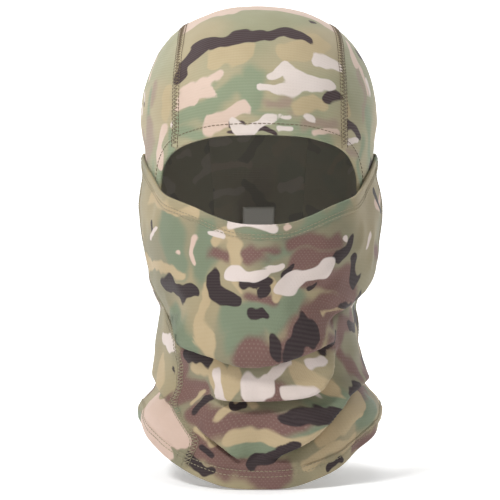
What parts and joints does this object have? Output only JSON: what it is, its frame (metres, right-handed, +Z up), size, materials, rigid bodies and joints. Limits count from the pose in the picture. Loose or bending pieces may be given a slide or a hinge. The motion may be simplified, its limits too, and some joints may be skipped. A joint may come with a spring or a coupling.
{
  "type": "camouflage balaclava",
  "caption": "Pull-over camouflage face mask: a close hood with a wide eye opening, sewn at the nape into a loose collar whose front rises over the nose and pulls down below the chin.",
  "frame": {"origin": "middle of the wearer's head at eye height, where the head sits inside the hood", "axes": "+Z up towards the crown, +Y towards the nape so that the wearer looks along -Y, +X towards the wearer's left"},
  "size_m": [0.1602, 0.2047, 0.3017],
  "materials": {
    "hood_knit": "fine cross-ribbed polyester knit with a printed camouflage of cream, tan, olive, sage and dark brown, soft sheen",
    "collar_knit": "micro-eyelet polyester knit with the same printed camouflage in deeper tones, soft sheen",
    "seam_thread": "brown flatlock sewing thread, matt",
    "label_tape": "blank woven label tape, matt"
  },
  "bodies": {
    "collar": {"front_panel": "collar_knit", "back_panel": "collar_knit", "side_seam_left": "seam_thread", "side_seam_right": "seam_thread", "nape_hem": "collar_knit", "bottom_hem": "collar_knit"},
    "face_cover": {"face_hem": "collar_knit"},
    "hood": {"crown_panel": "hood_knit", "hood_side_left": "hood_knit", "hood_side_right": "hood_knit", "face_opening_hem": "hood_knit", "crown_seam_left": "seam_thread", "crown_seam_right": "seam_thread", "care_label": "label_tape"}
  },
  "joints": [
    {"name": "face_cover_pull", "type": "hinge", "parent": "collar", "child": "face_cover", "pos_m": [0, 0.0895, -0.045], "axis": [1, 0, 0], "range_deg": [0, 27], "deforming": ["front_panel"]},
    {"name": "hood_push_back", "type": "hinge", "parent": "collar", "child": "hood", "pos_m": [0, 0.0895, -0.045], "axis": [-1, 0, 0], "range_deg": [0, 120]}
  ]
}
